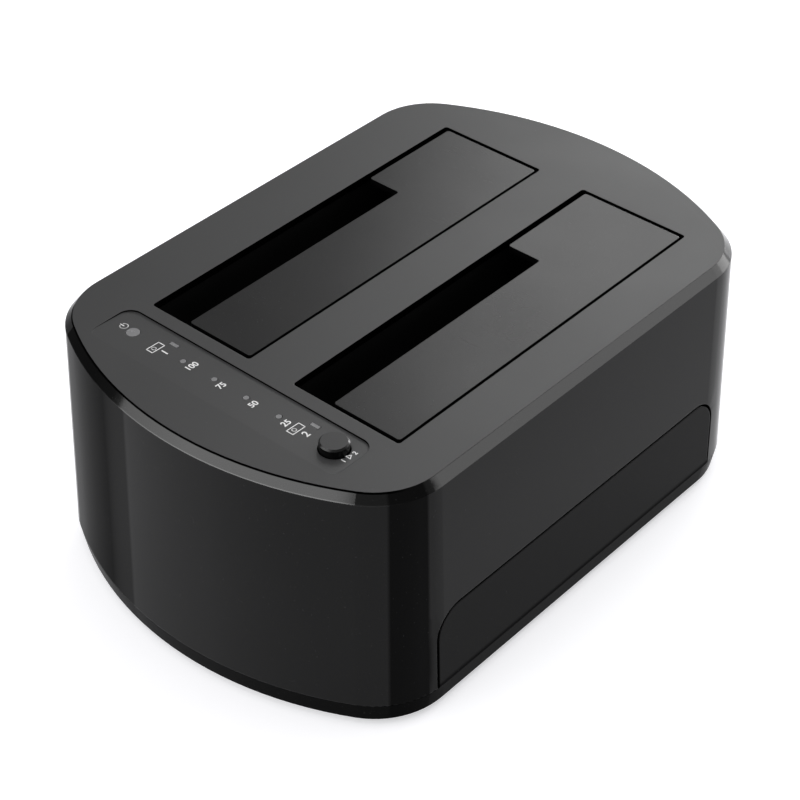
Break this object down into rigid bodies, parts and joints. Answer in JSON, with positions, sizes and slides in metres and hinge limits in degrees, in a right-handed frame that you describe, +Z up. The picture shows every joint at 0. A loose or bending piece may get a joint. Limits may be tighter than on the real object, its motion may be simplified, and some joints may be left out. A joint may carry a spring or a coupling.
{
  "type": "hard drive duplicator dock",
  "caption": "Black desk dock that copies drives: box with convex ends, slots with sprung L shaped flaps on top, a sunken panel with lamps and a start button.",
  "frame": {"origin": "centre of the footprint, on the surface that the rubber feet stand on", "axes": "+Z up, +Y along the length to the rear side with the connectors, +X to the right as seen from the control panel"},
  "size_m": [0.1112, 0.16, 0.0684],
  "materials": {
    "shell_plastic": "black, glossy sides and a satin top face",
    "base_plastic": "black, satin",
    "foot_rubber": "black, matt",
    "inner_plastic": "black, matt",
    "flap_plastic": "black, satin",
    "pin_steel": "ground",
    "spring_steel": "drawn wire",
    "socket_plastic": "black, moulded",
    "contact_brass": "gold plated",
    "board_laminate": "green solder mask",
    "chip_plastic": "black, moulded",
    "can_metal": "drawn",
    "socket_metal": "tin plated",
    "tongue_plastic": "off white",
    "rocker_plastic": "black",
    "wire_metal": "tinned",
    "lamp_chip": "pale",
    "lamp_clear": "smoked, clear",
    "button_plastic": "black",
    "ribbon_plastic": "pale",
    "screw_steel": "zinc plated"
  },
  "bodies": {
    "housing": {"top_shell": "shell_plastic", "base_shell": "base_plastic", "rubber_feet": "foot_rubber", "bay_well_1": "inner_plastic", "bay_well_2": "inner_plastic", "flap_pin_1": "pin_steel", "flap_pin_2": "pin_steel", "flap_spring_1": "spring_steel", "flap_spring_2": "spring_steel", "sata_socket_1": "socket_plastic", "sata_socket_2": "socket_plastic", "sata_contacts_1": "contact_brass", "sata_contacts_2": "contact_brass", "main_board": "board_laminate", "panel_board": "board_laminate", "bridge_chip": "chip_plastic", "copy_chip": "chip_plastic", "crystal": "can_metal", "power_coils": "chip_plastic", "capacitors": "can_metal", "usb_socket": "socket_metal", "usb_tongue": "tongue_plastic", "dc_jack": "socket_plastic", "dc_pin": "contact_brass", "power_switch": "socket_plastic", "switch_terminals": "contact_brass", "switch_wires": "wire_metal", "status_leds": "lamp_chip", "light_guide": "lamp_clear", "tact_switch": "socket_metal", "cable_sockets": "tongue_plastic", "panel_cable": "ribbon_plastic", "case_screws": "screw_steel", "well_screws": "screw_steel", "board_screws": "screw_steel", "panel_screws": "screw_steel"},
    "flap_1": {"bay_flap_1": "flap_plastic"},
    "flap_2": {"bay_flap_2": "flap_plastic"},
    "button": {"clone_button": "button_plastic", "switch_plunger": "button_plastic"},
    "rocker": {"switch_rocker": "rocker_plastic"}
  },
  "joints": [
    {"name": "flap_1_hinge", "type": "hinge", "parent": "housing", "child": "flap_1", "pos_m": [-0.00484, 0.0043, 0.0628], "axis": [0, -1, 0], "range_deg": [0, 88], "stiffness_Nm_per_rad": 0.0033, "springref_deg": -51.57, "deforming": ["flap_spring_1"]},
    {"name": "flap_2_hinge", "type": "hinge", "parent": "housing", "child": "flap_2", "pos_m": [0.03939, 0.0043, 0.0628], "axis": [0, -1, 0], "range_deg": [0, 88], "stiffness_Nm_per_rad": 0.0033, "springref_deg": -51.57, "deforming": ["flap_spring_2"]},
    {"name": "button_press", "type": "slide", "parent": "housing", "child": "button", "axis": [0, 0, -1], "range_m": [0, 0.0005], "stiffness_N_per_m": 1000, "springref_m": -0.0003},
    {"name": "rocker_tilt", "type": "hinge", "parent": "housing", "child": "rocker", "pos_m": [0, 0.0752, 0.0176], "axis": [0, 0, 1], "range_deg": [-16, 0]}
  ]
}
